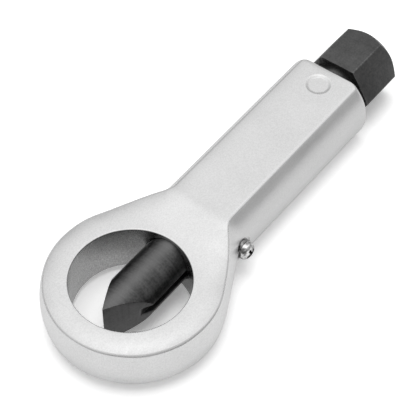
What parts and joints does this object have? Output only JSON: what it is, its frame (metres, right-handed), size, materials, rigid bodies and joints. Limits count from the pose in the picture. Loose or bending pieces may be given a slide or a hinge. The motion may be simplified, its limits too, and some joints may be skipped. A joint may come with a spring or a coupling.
{
  "type": "nut splitter",
  "caption": "Ring-headed nut splitter: a hex-headed forcing screw drives a keyed chisel cutter across the nut hole to crack a seized nut.",
  "frame": {"origin": "centre of the nut hole on the drive axis, midway through the head", "axes": "+X along the drive axis towards the hex head, +Z out of the flat side with the round recess, Y across the head"},
  "size_m": [0.1298, 0.0488, 0.0196],
  "materials": {
    "satin_nickel": "satin nickel plating on a turned and milled steel body",
    "black_oxide": "black oxide on hardened steel",
    "bright_steel": "bright zinc plated or polished steel"
  },
  "bodies": {
    "body": {"body": "satin_nickel", "guide_screw": "bright_steel", "lock_washer": "bright_steel"},
    "cutter": {"cutter": "black_oxide", "thrust_ball": "bright_steel"},
    "drive_screw": {"drive_screw": "black_oxide"}
  },
  "joints": [
    {"name": "cutter_slide", "type": "slide", "parent": "body", "child": "cutter", "axis": [-1, 0, 0], "range_m": [-0.027, 0.0029]},
    {"name": "screw_spin", "type": "hinge", "parent": "cutter", "child": "drive_screw", "pos_m": [0.0464, 0, 0], "axis": [-1, 0, 0], "range_deg": [-6480.5, 696.5]}
  ],
  "couplings": [
    {"joint": "screw_spin", "follows": "cutter_slide", "rad_per_m": 4188.8}
  ]
}
